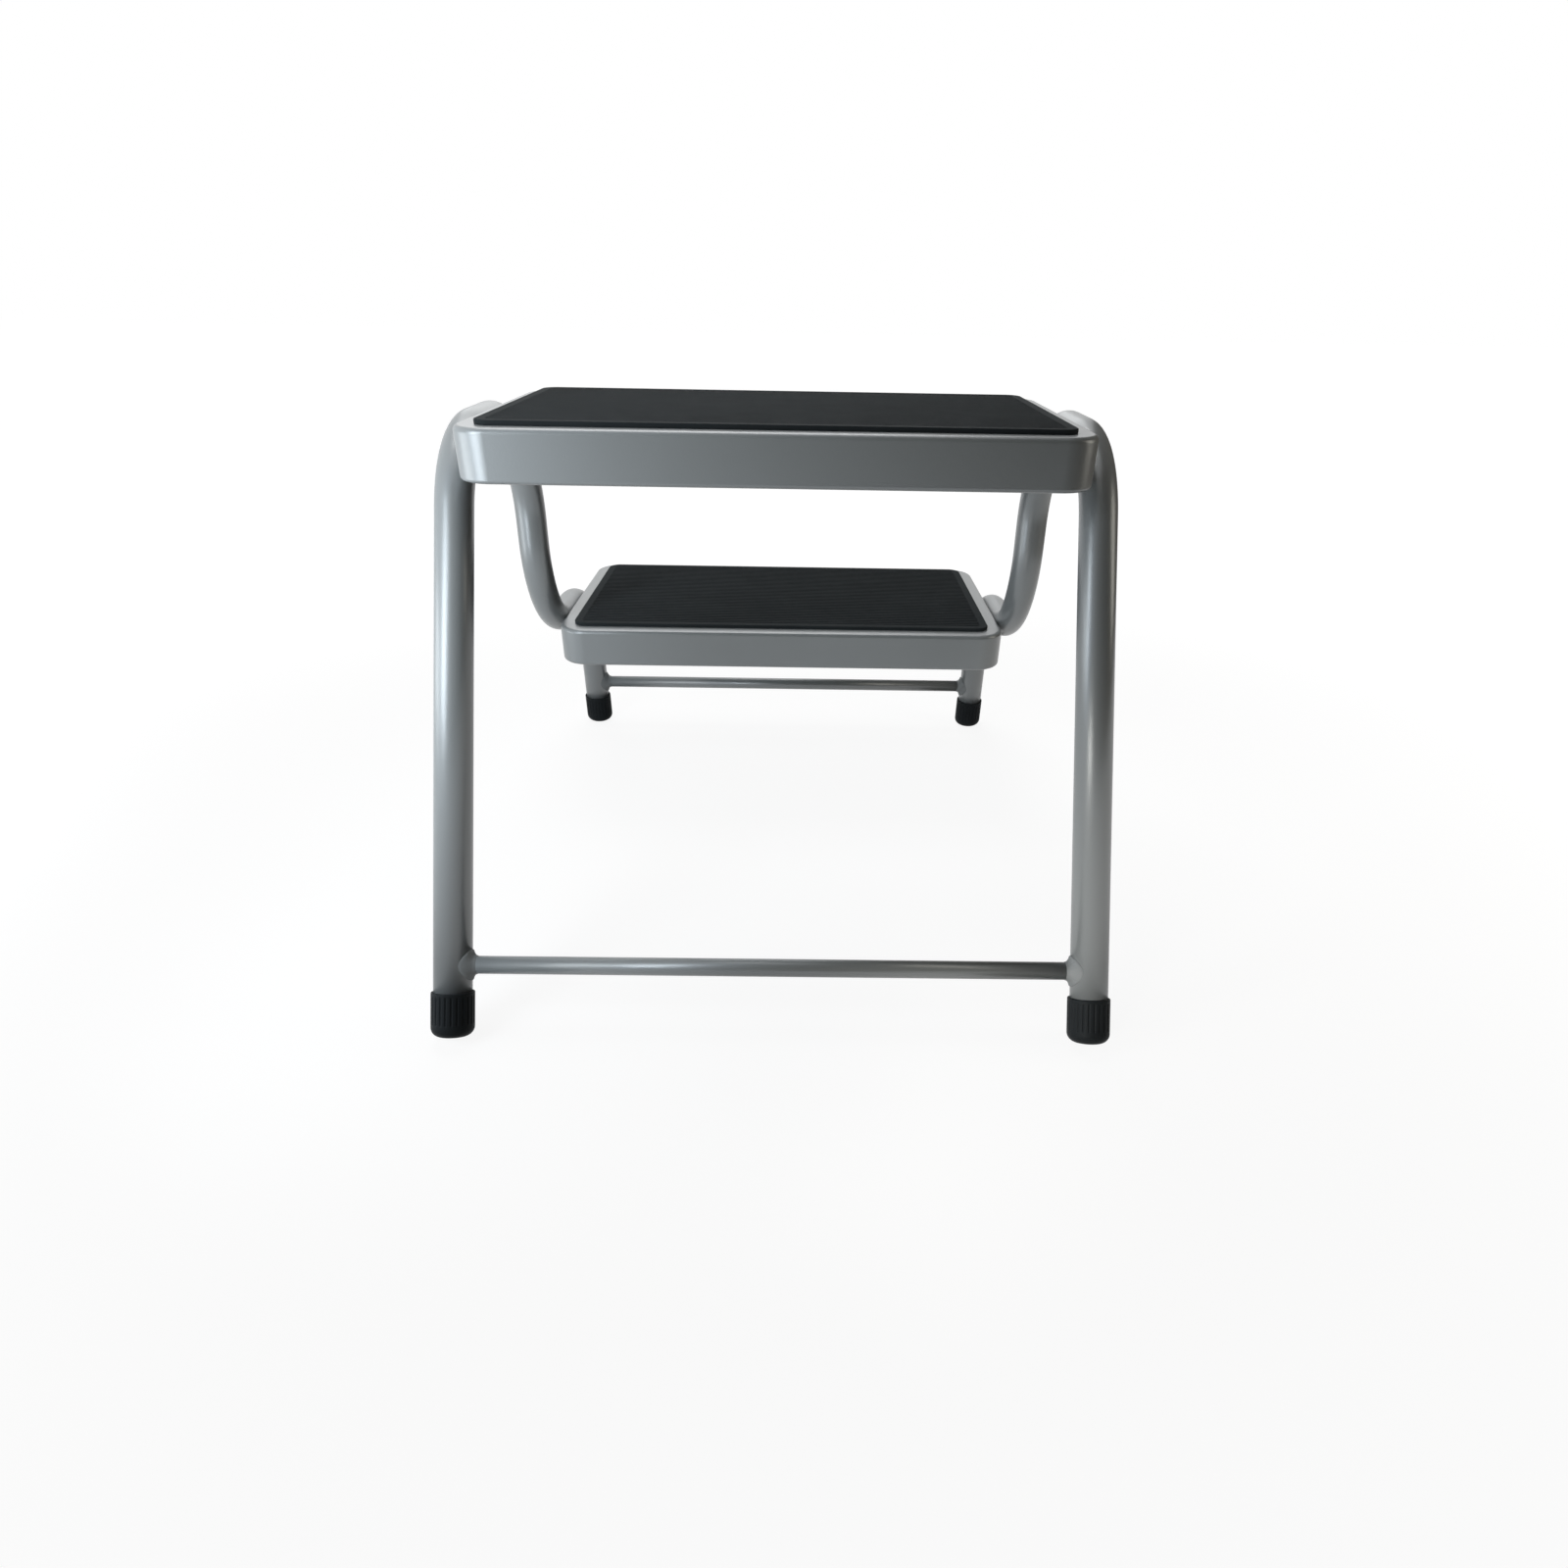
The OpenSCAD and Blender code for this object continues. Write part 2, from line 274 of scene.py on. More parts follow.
def coat_texture_group():
    """Orange peel and faint unevenness of a sprayed and baked coat."""
    tree, given = new_group(
        "Coat texture", {"Peel scale": 700.0, "Peel depth": 0.00004, "Tint spread": 0.04},
        ("Tint", "Gloss"))
    place = node(tree, "ShaderNodeTexCoord", (-900, 300)).outputs["Object"]
    peel = noise(tree, (-500, 200), place, given["Peel scale"], detail=1.5)
    cloud = noise(tree, (-500, -100), place, scale=9.0, detail=3.0)
    centred = node(tree, "ShaderNodeMath", (-200, -100), {0: cloud, 1: 0.5},
                   operation="SUBTRACT").outputs[0]
    tint = node(tree, "ShaderNodeMath", (100, -100),
                {0: centred, 1: given["Tint spread"], 2: 1.0},
                operation="MULTIPLY_ADD").outputs[0]
    node(tree, "NodeGroupOutput", (900, 0), {
        "Tint": tint, "Gloss": cloud, "Normal": bumped(tree, peel, given["Peel depth"])})


def moulded_texture_group():
    """Fine grain of moulded rubber, with a little grey bloom."""
    tree, given = new_group(
        "Moulded rubber", {"Grain scale": 1500.0, "Grain depth": 0.00008}, ("Bloom", "Grain"))
    place = node(tree, "ShaderNodeTexCoord", (-900, 300)).outputs["Object"]
    grain = noise(tree, (-500, 200), place, given["Grain scale"], detail=3.0)
    bloom = noise(tree, (-500, -100), place, scale=22.0, detail=4.0, roughness=0.6)
    node(tree, "NodeGroupOutput", (900, 0), {
        "Bloom": bloom, "Grain": grain, "Normal": bumped(tree, grain, given["Grain depth"])})


# Materials
def textured(tree, name, inputs):
    """The outputs of one of the texture groups, placed in a material."""
    return node(tree, "ShaderNodeGroup", (-500, 0), inputs,
                node_tree=bpy.data.node_groups[name]).outputs


def surfaced(tree, shader):
    """Leads a shader to the material's output."""
    node(tree, "ShaderNodeOutputMaterial", (600, 0), {"Surface": shader.outputs[0]})


def coat_material(name, peel_depth=0.00004, rough=(0.28, 0.36), tone=1.0):
    """Silver powder coat over steel."""
    m = bpy.data.materials.new(name)
    tree = emptied(m)
    texture = textured(tree, "Coat texture", {"Peel depth": peel_depth})
    # A tone below 1 darkens the coat as painted shade; the welds take 0.8
    base = tuple(v * tone for v in settings("colours").coat)
    surfaced(tree, node(tree, "ShaderNodeBsdfPrincipled", (300, 0), {
        "Base Color": tinted(tree, (-200, 200), base, texture["Tint"]),
        "Roughness": spread(tree, (-200, 0), texture["Gloss"], *rough),
        "Normal": texture["Normal"], "Metallic": 0.15, "Specular IOR Level": 0.8}))
    return m


def rubber_material(name, base, rough, grain_scale, grain_depth):
    """Moulded black rubber, a little greyer in patches."""
    m = bpy.data.materials.new(name)
    tree = emptied(m)
    texture = textured(tree, "Moulded rubber",
                       {"Grain scale": grain_scale, "Grain depth": grain_depth})
    patches = spread(tree, (-300, 200), texture["Bloom"], 0.8, 1.25)
    surfaced(tree, node(tree, "ShaderNodeBsdfPrincipled", (300, 0), {
        "Base Color": tinted(tree, (-100, 200), tuple(base), patches),
        "Roughness": spread(tree, (-200, 0), texture["Grain"], *rough),
        "Normal": texture["Normal"], "Specular IOR Level": 0.05}))
    return m


def kept(name, make, **values):
    """The material of this name, made when it isn't there yet."""
    return bpy.data.materials.get(name) or make(name, **values)


def coat():
    return kept("Silver coat", coat_material)


# Painted shade: the welds sit in the joints between tubes, skirts and bars, so their coat is
# painted a fifth darker; it is also rougher
def weld_coat_painted_shade():
    return kept("Silver coat on welds", coat_material, peel_depth=0.00008, rough=(0.6, 0.7),
                tone=0.8)


def mat_rubber():
    return kept("Mat rubber", rubber_material, base=settings("colours").mat, rough=(0.7, 0.85),
                grain_scale=1500.0, grain_depth=0.00008)


def cap_rubber():
    return kept("Cap rubber", rubber_material, base=settings("colours").cap, rough=(0.4, 0.55),
                grain_scale=1100.0, grain_depth=0.00006)


# Mesh helpers
def ends(bm):
    """The open edges."""
    return [e for e in bm.edges if len(e.link_faces) < 2]


def new_object(name, bm, material):
    """Makes a smooth-shaded object of the bmesh."""
    for face in bm.faces:
        face.smooth = True
    mesh = bpy.data.meshes.new(name)
    bm.to_mesh(mesh)
    bm.free()
    obj = bpy.data.objects.new(name, mesh)
    bpy.context.scene.collection.objects.link(obj)
    mesh.materials.append(material)
    return obj


def piece(name, bm, material, slot, *nodes):
    """Makes an object that rides on the frame and stands for its CAD nodes."""
    bmesh.ops.remove_doubles(bm, verts=bm.verts, dist=NEAR)
    bmesh.ops.recalc_face_normals(bm, faces=bm.faces)
    obj = new_object(name, bm, material)
    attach(obj, BODY)
    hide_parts(*nodes)
    return obj


def even_normals(obj):
    """Keeps the flats flat beside small rounded edges."""
    m = obj.modifiers.new("Even normals", "WEIGHTED_NORMAL")
    m.keep_sharp = True


def thicken(obj, thickness, side=-1.0):
    """Gives a surface the thickness of its sheet, on its inner side or its outer one."""
    m = obj.modifiers.new("Sheet", "SOLIDIFY")
    m.thickness = thickness
    m.offset = side
    m.use_even_offset = True


def line(bm, points):
    """Joins points by edges."""
    verts = [bm.verts.new(p) for p in points]
    return [bm.edges.new(pair) for pair in zip(verts, verts[1:])]


def arc(cx, cz, r, start, stop, steps):
    """Points of an arc in the X-Z plane, angles in degrees from +X towards +Z."""
    angles = [math.radians(start + (stop - start) * i / steps) for i in range(steps + 1)]
    return [Vector((cx + r * math.cos(a), 0, cz + r * math.sin(a))) for a in angles]


def share(value, whole):
    """A value as a share of the whole, held between 0 and 1."""
    return min(max(value / whole, 0), 1)


def pulled(bm, edges, step):
    """Extrudes edges by a step and returns the new edges."""
    made = bmesh.ops.extrude_edge_only(bm, edges=edges)["geom"]
    verts = [g for g in made if isinstance(g, bmesh.types.BMVert)]
    bmesh.ops.translate(bm, vec=step, verts=verts)
    moved = set(verts)
    return [g for g in made if isinstance(g, bmesh.types.BMEdge) and moved.issuperset(g.verts)]


def spun(bm, edges, centre, axis, angle, steps):
    """Spins edges about an axis and returns the last ones."""
    last = bmesh.ops.spin(bm, geom=edges, cent=centre, axis=axis, dvec=(0, 0, 0), angle=angle,
                          steps=steps, use_merge=False, use_duplicate=False)["geom_last"]
    return [g for g in last if isinstance(g, bmesh.types.BMEdge)]


def swept_round(bm, points, width, depth, radius, middle, steps):
    """Sweeps a section round a rounded rectangle; its x is measured out from a corner's centre."""
    cx, cy = width / 2 - radius, depth / 2 - radius
    corners = [Vector((x, y, 0)) for x, y in ((cx, cy), (-cx, cy), (-cx, -cy), (cx, -cy))]
    start = corners[0] + middle
    edges = line(bm, [p + start for p in points])
    for corner, following in zip(corners, corners[1:] + corners[:1]):
        edges = spun(bm, edges, corner + middle, UP, math.pi / 2, steps)
        edges = pulled(bm, edges, following - corner)
    bmesh.ops.remove_doubles(bm, verts=bm.verts, dist=NEAR)


def filled(bm, level):
    """Closes the open loop that lies at a level."""
    loop = [e for e in ends(bm) if all(abs(v.co.z - level) < NEAR for v in e.verts)]
    bmesh.ops.edgeloop_fill(bm, edges=loop)


def capped(bm, edges):
    """Closes a pipe at the end with these edges, then at the other."""
    bmesh.ops.edgeloop_fill(bm, edges=edges)
    bmesh.ops.edgeloop_fill(bm, edges=ends(bm))


def rounded(bm, edges, offset, steps):
    """Bevels edges with a round profile."""
    bmesh.ops.bevel(bm, geom=edges, offset=offset, offset_type="OFFSET", segments=steps,
                    profile=0.5, affect="EDGES", material=-1)


def standing(point, direction):
    """Matrix that puts a piece made along +Z at a point, along a direction in the Y-Z plane."""
    angle = -math.atan2(direction.y, direction.z)
    return Matrix.Translation(point) @ Matrix.Rotation(angle, 4, "X")


# Pieces
def bent_tube(name, cad, side):
    """Round bar along the tube's path: each straight is pulled and each bend spun."""
    f = settings("frame")
    path = [p + Vector((tube_x(side), 0, 0)) for p in corner_points()]
    ways = [(b - a).normalized() for a, b in zip(path, path[1:])]
    turns = [a.angle(b) for a, b in zip(ways, ways[1:])]
    # What each corner or foot takes off the straights that meet there
    back = [sole_rise(False) + f.cap_sole]
    back += [f.bend * math.tan(t / 2) for t in turns]
    back += [sole_rise(True) + f.cap_sole]
    bm = bmesh.new()
    bmesh.ops.create_circle(bm, cap_ends=False, segments=TUBE_SIDES, radius=f.tube / 2,
                            matrix=standing(path[0] + ways[0] * back[0], ways[0]))
    edges = list(bm.edges)
    for i, way in enumerate(ways):
        begin = path[i] + way * back[i]
        stop = path[i + 1] - way * back[i + 1]
        edges = pulled(bm, edges, stop - begin)
        if i < len(turns):
            axis = way.cross(ways[i + 1]).normalized()
            centre = stop + axis.cross(way) * f.bend
            edges = spun(bm, edges, centre, axis, turns[i], BEND_STEPS)
    capped(bm, edges)
    piece(name, bm, coat(), "silver_coat", cad)


def tray(name, cad):
    """Pressed tray: deck, folded skirt and curled lower edge, as one thickened sheet."""
    t = settings("treads")
    low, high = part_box(cad)
    middle = Vector((0, (low.y + high.y) / 2, high.z))
    r = t.corner
    steps = 8
    section = [Vector((SECTION_START, 0, 0))]
    section += arc(r - t.fold, -t.fold, t.fold, 90, 0, steps)
    section += arc(r - t.curl, t.curl - t.skirt, t.curl, 0, -90, steps)
    section += [Vector((r - 2 * t.curl, 0, -t.skirt))]
    bm = bmesh.new()
    swept_round(bm, section, t.width, t.depth, r, middle, TRAY_CORNER_STEPS)
    filled(bm, middle.z)
    obj = piece(name, bm, coat(), "silver_coat", cad)
    thicken(obj, t.sheet)
    even_normals(obj)


def rib_spans(depth, m):
    """The near and far edge of each rib of a field; the outer ones go into the border."""
    grooves = math.floor((depth - m.groove) / m.pitch) + 1
    first = -(grooves - 1) * m.pitch / 2
    middles = [first + i * m.pitch for i in range(grooves)]
    starts = [-depth / 2 - RIB_BURY] + [y + m.groove / 2 for y in middles]
    stops = [y - m.groove / 2 for y in middles] + [depth / 2 + RIB_BURY]
    return zip(starts, stops)


def mat(name, cad):
    """Ribbed mat: a plain border round a sunk bed, and a row of ribs on the bed."""
    t, m = settings("treads"), settings("mats")
    low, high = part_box(cad)
    middle = Vector((0, (low.y + high.y) / 2, low.z))
    width, depth, r = t.width - 2 * m.rim, t.depth - 2 * m.rim, t.corner - m.rim
    inner = r - m.border
    bed = m.thickness - m.groove_depth
    soft, dip, crest_radius = 0.0003, 0.00003, 0.0005
    section = [Vector((SECTION_START, 0, 0)), Vector((r - soft, 0, 0)), Vector((r, 0, soft))]
    section += arc(r - m.edge, m.thickness - m.edge, m.edge, 0, 90, 6)
    section += arc(inner + soft, m.thickness - soft, soft, 90, 180, 3)
    section += [Vector((inner, 0, bed)), Vector((SECTION_START, 0, bed))]
    bm = bmesh.new()
    swept_round(bm, section, width, depth, r, middle, MAT_CORNER_STEPS)
    filled(bm, middle.z)
    filled(bm, middle.z + bed)
    field_width, field_depth = width - 2 * m.border, depth - 2 * m.border
    top = m.thickness - dip
    for y0, y1 in rib_spans(field_depth, m):
        out = max(abs(y0), abs(y1)) - (field_depth / 2 - inner)
        cut = inner - math.sqrt(max(inner * inner - out * out, 0)) if out > 0 else 0
        length = 2 * (field_width / 2 - cut + RIB_BURY)
        rib = bmesh.ops.create_cube(bm, size=1)["verts"]
        bmesh.ops.scale(bm, vec=(length, y1 - y0, top - bed), verts=rib)
        bmesh.ops.translate(bm, vec=middle + Vector((0, (y0 + y1) / 2, (top + bed) / 2)),
                            verts=rib)
        upper = [v for v in rib if v.co.z > middle.z + (top + bed) / 2]
        crest = [e for e in {e for v in upper for e in v.link_edges}
                 if all(v in upper for v in e.verts)
                 and abs(e.verts[0].co.y - e.verts[1].co.y) < NEAR]
        rounded(bm, crest, crest_radius, 3)
    even_normals(piece(name, bm, mat_rubber(), "mat_rubber", cad))


def channel(name, cad):
    """Folded channel under a deck."""
    t = settings("treads")
    low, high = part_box(cad)
    span = high.x - low.x
    y = (low.y + high.y) / 2
    web, edge = t.channel_width / 2 + t.sheet, t.channel_width / 2 + t.flange
    depth, fold_radius = t.channel_depth, 0.0022
    shape = ((-edge, 0), (-web, 0), (-web, -depth), (web, -depth), (web, 0), (edge, 0))
    bm = bmesh.new()
    edges = line(bm, [Vector((low.x, y + a, high.z + b)) for a, b in shape])
    pulled(bm, edges, Vector((span, 0, 0)))
    folds = [e for e in bm.edges
             if abs(e.verts[0].co.x - e.verts[1].co.x) > span / 2 and len(e.link_faces) == 2]
    rounded(bm, folds, fold_radius, 5)
    obj = piece(name, bm, coat(), "silver_coat", cad)
    thicken(obj, t.sheet, 1.0)
    even_normals(obj)


def floor_bar(name, cad):
    """Crossbar between two legs; its ends go a little into them."""
    low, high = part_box(cad)
    start = Matrix.Translation((low.x - BAR_SINK, (low.y + high.y) / 2, (low.z + high.z) / 2))
    bm = bmesh.new()
    bmesh.ops.create_circle(bm, cap_ends=False, segments=BAR_SIDES,
                            radius=settings("frame").bar / 2,
                            matrix=start @ Matrix.Rotation(math.pi / 2, 4, "Y"))
    capped(bm, pulled(bm, list(bm.edges), Vector((high.x - low.x + 2 * BAR_SINK, 0, 0))))
    piece(name, bm, coat(), "silver_coat", cad)


def bar_fillet(name, cad, side, front):
    """Weld fillet round a crossbar's end: a hollow section spun round the bar, then laid on
    the leg."""
    f = settings("frame")
    foot, way = leg(front)
    r, reach, tube = f.bar / 2, f.fillet, f.tube / 2
    toe, shoulder, lip, sunk, steps = 0.0009, 0.0006, 0.0002, 0.0003, 8
    relief, ripples = 0.00012, 30
    section = [Vector((0, 0, r + reach + 2 * lip)), Vector((shoulder, 0, r + reach + lip))]
    for i in range(steps + 1):
        a = math.radians(90 * i / steps)
        section.append(Vector((toe + (reach - toe) * (1 - math.cos(a)), 0,
                               r + reach - (reach - lip) * math.sin(a))))
    section += [Vector((reach + 2 * lip, 0, r - sunk))]
    bm = bmesh.new()
    spun(bm, line(bm, section), (0, 0, 0), (1, 0, 0), 2 * math.pi, FILLET_STEPS)
    bmesh.ops.remove_doubles(bm, verts=bm.verts, dist=NEAR)
    across = Vector((0, way.z, -way.y))
    for v in bm.verts:
        flat = Vector((0, v.co.y, v.co.z))
        weight = share(flat.length - r, reach)
        ripple = relief * math.cos(ripples * math.atan2(flat.z, flat.y))
        ripple *= math.sin(math.pi * weight)
        aside = flat.dot(across)
        sink = tube - math.sqrt(max(tube * tube - aside * aside, 0))
        v.co.x += ripple - sink * weight
        v.co += flat.normalized() * ripple
    bmesh.ops.scale(bm, vec=(-side, 1, 1), verts=bm.verts)
    x, y = side * settings("treads").width / 2, foot.y + f.bar_height * way.y / way.z
    bmesh.ops.translate(bm, vec=(x, y, f.bar_height), verts=bm.verts)
    piece(name, bm, weld_coat_painted_shade(), "silver_coat", cad)


def tray_bead(name, cad, side, deck):
    """Weld bead in the groove between a tube and a skirt, tapered at both ends."""
    r = settings("frame").tube / 2
    low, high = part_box(cad)
    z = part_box(deck)[1].z - r
    length, tip = high.y - low.y, math.radians(30)
    root, tapered, steps = -r * 0.55, -r * 0.6, 6
    hollow, relief, ripple_pitch = 0.0006, 0.00018, 0.0032
    taper_length, taper_sink = 0.004, 0.0016
    skirt_toe = Vector((0, 0, low.z - z))
    tube_toe = Vector((r * (1 - math.sin(tip)), 0, -r * math.cos(tip)))
    out = Vector((tube_toe.z - skirt_toe.z, 0, skirt_toe.x - tube_toe.x)).normalized()
    bm = bmesh.new()
    face = [skirt_toe.lerp(tube_toe, i / steps) for i in range(steps + 1)]
    loop = line(bm, [Vector((0, 0, root))] + face)
    count = int(length / BEAD_STEP)
    for _ in range(count):
        loop = pulled(bm, loop, Vector((0, length / count, 0)))
    for v in bm.verts:
        along = v.co.y
        belly = math.sin(math.pi * share(v.co.x, tube_toe.x))
        ripple = relief * belly * abs(math.sin(math.pi * along / ripple_pitch))
        taper = share(min(along, length - along), taper_length)
        shrink = (1 - taper) * taper_sink if v.co.z < tapered else 0
        v.co += out * (ripple - hollow * belly - shrink)
    bmesh.ops.scale(bm, vec=(side, 1, 1), verts=bm.verts)
    bmesh.ops.translate(bm, vec=(side * settings("treads").width / 2, low.y, z), verts=bm.verts)
    piece(name, bm, weld_coat_painted_shade(), "silver_coat", cad)


def foot_cap(name, cad, side, front):
    """Fluted rubber cap over a leg's end: a ring pulled up and scaled, then fluted."""
    f = settings("frame")
    foot, way = leg(front)
    point = foot + way * sole_rise(front)
    point.x = tube_x(side)
    r, edge, length = f.tube / 2 + f.cap_wall, f.cap_edge, f.cap_length
    gap, fade, clearance = 0.002, 0.0012, 0.00005
    low, top = edge + gap, length - gap
    spacing = 360 / f.flutes
    rings = [(r - edge, 0)]
    rings += [(r - edge + edge * math.sin(a), edge * (1 - math.cos(a)))
              for a in (math.radians(d) for d in range(9, 91, 9))]
    rings += [(r, z) for z in (low, low + fade / 2, low + fade, (low + top) / 2, top - fade,
                               top - fade / 2, top)]
    rings += [(r - a, length - b) for a, b in CAP_LIP]
    rings += [(f.tube / 2 + clearance, length - b) for b in CAP_BORE_RINGS]
    bm = bmesh.new()
    bmesh.ops.create_circle(bm, cap_ends=False, segments=CAP_SIDES, radius=rings[0][0])
    loop = list(bm.edges)
    for (r0, z0), (r1, z1) in zip(rings, rings[1:]):
        loop = pulled(bm, loop, Vector((0, 0, z1 - z0)))
        verts = list({v for e in loop for v in e.verts})
        bmesh.ops.scale(bm, vec=(r1 / r0, r1 / r0, 1), verts=verts)
    for v in bm.verts:
        if low < v.co.z < top:
            turn = math.degrees(math.atan2(v.co.y, v.co.x)) % spacing
            off = math.radians(min(turn, spacing - turn)) * r
            if off < f.flute:
                depth = math.sqrt(f.flute ** 2 - off ** 2)
                depth *= share(min(v.co.z - low, top - v.co.z), fade)
                v.co.xy *= (r - depth) / r
    filled(bm, 0)
    bmesh.ops.transform(bm, matrix=standing(point, way), verts=bm.verts)
    piece(name, bm, cap_rubber(), "cap_rubber", cad)


# Stage
def seen_or_mirrored(tree, at):
    """1 where a camera, glossy or transmission ray looks."""
    path = node(tree, "ShaderNodeLightPath", at)
    value = path.outputs["Is Camera Ray"]
    for i, label in enumerate(("Is Glossy Ray", "Is Transmission Ray"), 1):
        value = node(tree, "ShaderNodeMath", (at[0] + 200 * i, at[1]),
                     {0: value, 1: path.outputs[label]}, operation="MAXIMUM").outputs[0]
    return value


def floor_material():
    """Grey floor that glows pale for the rays that look at it, with painted shade: the glow is
    dimmer near the step.
    """
    m = bpy.data.materials.new("Pale floor")
    tree = emptied(m)
    diffuse = node(tree, "ShaderNodeBsdfDiffuse", (0, 100),
                   {"Color": (*settings("colours").floor, 1)})
    place = node(tree, "ShaderNodeTexCoord", (-900, 200)).outputs["Object"]
    away = node(tree, "ShaderNodeVectorMath", (-700, 200), {0: place}, operation="LENGTH")
    # Painted shade: the glow is 0.9 near the step and rises to 1.0 further out
    pale = spread(tree, (-500, 200), away.outputs["Value"], 0.9, 1.0, *FLOOR_SHADE_FADE,
                  interpolation_type="SMOOTHSTEP")
    glow = node(tree, "ShaderNodeEmission", (0, -100),
                {"Color": pale, "Strength": seen_or_mirrored(tree, (-700, -200))})
    surfaced(tree, node(tree, "ShaderNodeAddShader", (300, 0),
                        {0: diffuse.outputs[0], 1: glow.outputs[0]}))
    return m


def screen_material():
    """Grey studio screen, bright at its left end and darker towards the right."""
    m = bpy.data.materials.new("Studio screen")
    tree = emptied(m)
    place = node(tree, "ShaderNodeTexCoord", (-900, 0)).outputs["Object"]
    split = node(tree, "ShaderNodeSeparateXYZ", (-700, 0), {0: place}).outputs
    back = node(tree, "ShaderNodeMath", (-600, -150), {0: split["Y"], 1: -1.0},
                operation="MULTIPLY").outputs[0]
    turn = node(tree, "ShaderNodeMath", (-500, 0), {0: split["X"], 1: back},
                operation="ARCTAN2").outputs[0]
    along = spread(tree, (-300, 0), turn, 0.0, 1.0, SCREEN_FROM, SCREEN_TO)
    ramp = node(tree, "ShaderNodeValToRGB", (-100, 0), {0: along})
    stops = ramp.color_ramp.elements
    stops[0].position, stops[1].position = SCREEN_GREYS[0][0], SCREEN_GREYS[-1][0]
    for at, _ in SCREEN_GREYS[1:-1]:
        stops.new(at)
    neutral, red_gain, blue_loss = 0.6, 0.25, 0.45
    for stop, (_, grey) in zip(stops, SCREEN_GREYS):
        warm = neutral - grey
        stop.color = (grey * (1 + red_gain * warm), grey, grey * (1 - blue_loss * warm), 1)
    surfaced(tree, node(tree, "ShaderNodeEmission", (300, 0), {"Color": ramp.outputs[0]}))
    return m


def stage_object(name, bm, material):
    """Makes an object of the bmesh for the floor or the screen."""
    obj = new_object(name, bm, material)
    return obj


def add_floor_and_screen():
    """The floor, and the screen behind the camera and round the right, seen only in reflections."""
    bm = bmesh.new()
    bmesh.ops.create_grid(bm, x_segments=2, y_segments=2, size=FLOOR_SIZE)
    stage_object("floor", bm, floor_material())

    bm = bmesh.new()
    edges = line(bm, [Vector((r * math.sin(SCREEN_FROM), -r * math.cos(SCREEN_FROM), z))
                      for r, z in SCREEN_PROFILE])
    spun(bm, edges, (0, 0, 0), UP, SCREEN_TO - SCREEN_FROM, SCREEN_STEPS)
    screen = stage_object("studio_screen", bm, screen_material())
    screen.visible_camera = screen.visible_diffuse = False


def add_world(scene):
    """White where it is seen or mirrored, and a faint fill elsewhere."""
    scene.world = bpy.data.worlds.new("Studio")
    tree = emptied(scene.world)
    level = spread(tree, (100, -100), seen_or_mirrored(tree, (-700, -200)), WORLD_GLOW, 1.0)
    back = node(tree, "ShaderNodeBackground", (300, 0), {"Color": (1, 1, 1, 1), "Strength": level})
    node(tree, "ShaderNodeOutputWorld", (600, 0), {"Surface": back.outputs[0]})


def soft_lamp(scene, name, at, target, sides, power, tone, angle):
    """An area lamp at a place, aimed at a target."""
    light = bpy.data.lights.new(name, "AREA")
    light.shape, (light.size, light.size_y) = "RECTANGLE", sides
    light.energy, light.color, light.spread = power, tone, math.radians(angle)
    obj = bpy.data.objects.new(name, light)
    obj.location = at
    obj.rotation_euler = (Vector(target) - Vector(at)).to_track_quat("-Z", "Y").to_euler()
    obj.visible_camera = False
    scene.collection.objects.link(obj)


def add_camera(scene):
    """The camera that was fitted to the picture."""
    cam = bpy.data.cameras.new("camera")
    obj = bpy.data.objects.new("camera", cam)
    scene.collection.objects.link(obj)
    yaw, pitch, roll = (math.radians(a) for a in CAMERA_TURN)
    look = Vector((math.sin(yaw) * math.cos(pitch), math.cos(yaw) * math.cos(pitch),
                   -math.sin(pitch)))
    right = Vector((math.cos(yaw), -math.sin(yaw), 0))
    down = look.cross(right)
    x = right * math.cos(roll) + down * math.sin(roll)
    y = right * math.sin(roll) - down * math.cos(roll)
    turned = Matrix((x, y, -look)).transposed().to_4x4()
    obj.matrix_world = Matrix.Translation(CAMERA_PLACE) @ turned
    cam.sensor_width = SENSOR
    cam.lens = SENSOR * FOCAL / PICTURE
    cam.shift_x = (PICTURE / 2 - CENTRE[0]) / PICTURE
    cam.shift_y = (CENTRE[1] - PICTURE / 2) / PICTURE
    cam.clip_start = 0.02
    cam.dof.use_dof = False
    scene.camera = obj


# Operators
class StepOperator:
    bl_options = {"REGISTER", "UNDO"}


class ENTRYSTEP_OT_tubes(StepOperator, bpy.types.Operator):
    """Bends the two side tubes"""
    bl_idname = "entry_step.tubes"
    bl_label = "Side Tubes"

    def execute(self, context):
        for side, hand in HANDS:
            bent_tube("bent_tube_" + hand, "side_tube_" + hand, side)
        return {"FINISHED"}


class ENTRYSTEP_OT_trays(StepOperator, bpy.types.Operator):
    """Presses the two trays and folds the channels under them"""
    bl_idname = "entry_step.trays"
    bl_label = "Trays"

    def execute(self, context):
        for level in LEVELS:
            tray("pressed_tray_" + level, level + "_tray")
            channel("folded_channel_" + level, level + "_stiffener")
        return {"FINISHED"}


class ENTRYSTEP_OT_mats(StepOperator, bpy.types.Operator):
    """Lays the two ribbed rubber mats"""
    bl_idname = "entry_step.mats"
    bl_label = "Mats"

    def execute(self, context):
        for level in LEVELS:
            mat("ribbed_mat_" + level, level + "_mat")
        return {"FINISHED"}


class ENTRYSTEP_OT_bars(StepOperator, bpy.types.Operator):
    """Sets the two crossbars between the legs"""
    bl_idname = "entry_step.bars"
    bl_label = "Crossbars"

    def execute(self, context):
        for _, end in LEGS:
            floor_bar("round_bar_" + end, end + "_crossbar")
        return {"FINISHED"}


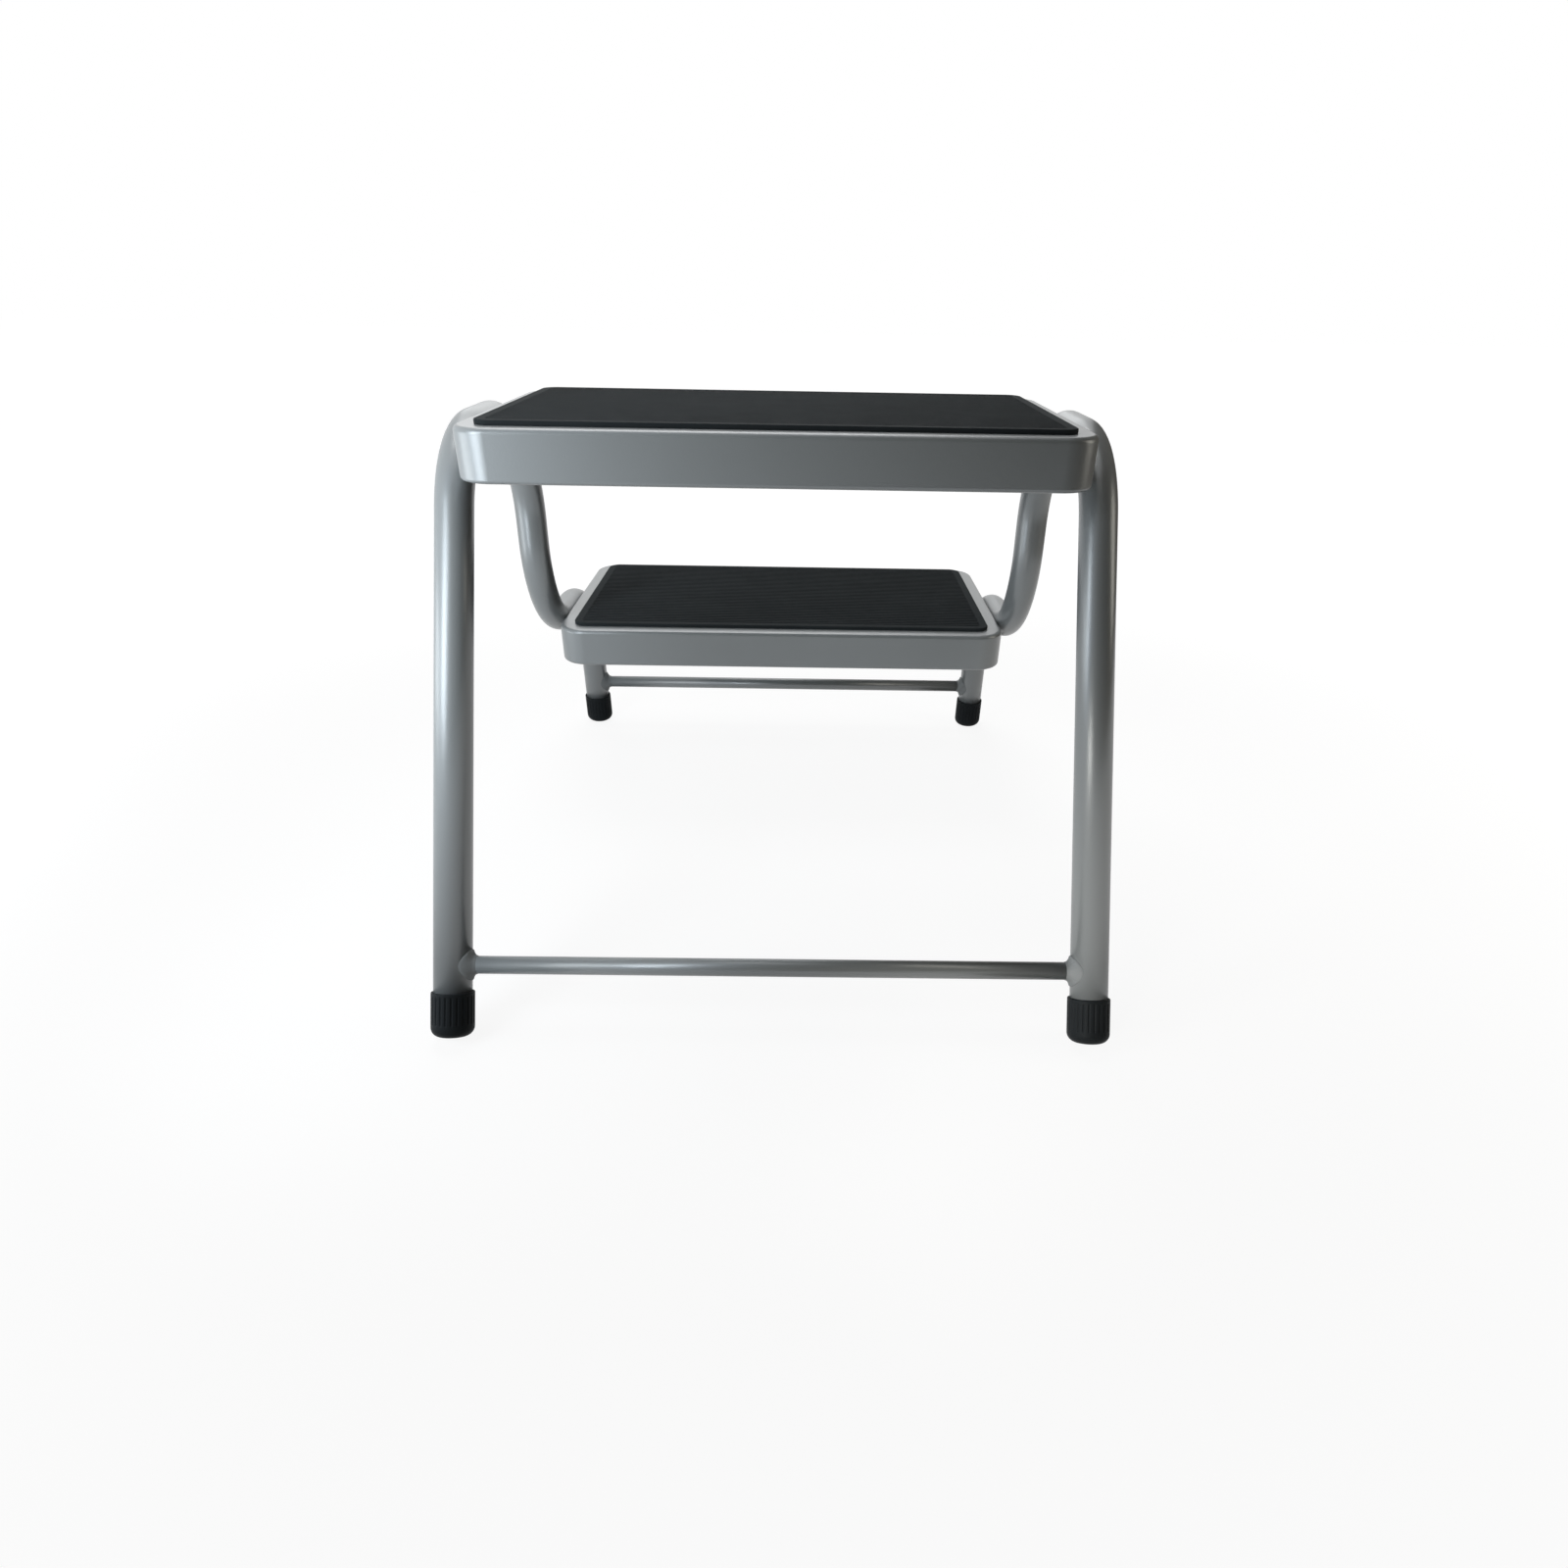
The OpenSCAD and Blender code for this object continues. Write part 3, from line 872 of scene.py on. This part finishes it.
class ENTRYSTEP_OT_welds(StepOperator, bpy.types.Operator):
    """Runs the weld fillets of the crossbars and the beads along the trays"""
    bl_idname = "entry_step.welds"
    bl_label = "Welds"

    def execute(self, context):
        for side, hand in HANDS:
            for front, end in LEGS:
                bar_fillet(f"fillet_{end}_{hand}", f"{end}_bar_weld_{hand}", side, front)
            for level in LEVELS:
                tray_bead(f"bead_{level}_{hand}", f"{level}_tray_weld_{hand}", side,
                          level + "_tray")
        return {"FINISHED"}


class ENTRYSTEP_OT_caps(StepOperator, bpy.types.Operator):
    """Puts a rubber cap on each leg"""
    bl_idname = "entry_step.caps"
    bl_label = "Foot Caps"

    def execute(self, context):
        for side, hand in HANDS:
            for front, end in LEGS:
                foot_cap(f"cap_{end}_{hand}", f"{end}_{hand}_cap", side, front)
        return {"FINISHED"}


class ENTRYSTEP_OT_stage(StepOperator, bpy.types.Operator):
    """Sets up the pale floor, the soft lamps, the screen and the camera"""
    bl_idname = "entry_step.stage"
    bl_label = "Stage"

    def execute(self, context):
        add_floor_and_screen()
        add_world(context.scene)
        for name, values in LAMPS.items():
            soft_lamp(context.scene, name, *values)
        add_camera(context.scene)
        context.scene.view_settings.view_transform = "Standard"
        return {"FINISHED"}


class ENTRYSTEP_PT_panel(bpy.types.Panel):
    bl_idname = "ENTRYSTEP_PT_panel"
    bl_label = "Entry Step"
    bl_space_type = "VIEW_3D"
    bl_region_type = "UI"
    bl_category = "Entry Step"

    def draw(self, context):
        for name, group in GROUPS.items():
            box = self.layout.box()
            for key in group.__annotations__:
                box.prop(settings(name), key)
        for operator in OPERATORS:
            self.layout.operator(operator.bl_idname)


GROUPS = {"treads": EntryStepTreads, "mats": EntryStepMats, "frame": EntryStepFrame,
          "colours": EntryStepColours}
OPERATORS = (ENTRYSTEP_OT_tubes, ENTRYSTEP_OT_trays, ENTRYSTEP_OT_mats, ENTRYSTEP_OT_bars,
             ENTRYSTEP_OT_welds, ENTRYSTEP_OT_caps, ENTRYSTEP_OT_stage)
CLASSES = (*GROUPS.values(), *OPERATORS, ENTRYSTEP_PT_panel)


def register():
    for cls in CLASSES:
        bpy.utils.register_class(cls)
    for name, group in GROUPS.items():
        setattr(bpy.types.Scene, PREFIX + name, PointerProperty(type=group))


def unregister():
    for name in GROUPS:
        delattr(bpy.types.Scene, PREFIX + name)
    for cls in reversed(CLASSES):
        bpy.utils.unregister_class(cls)


def main():
    register()
    coat_texture_group()
    moulded_texture_group()
    for operator in OPERATORS:
        group, name = operator.bl_idname.split(".")
        getattr(getattr(bpy.ops, group), name)()


if __name__ == "__main__":
    main()
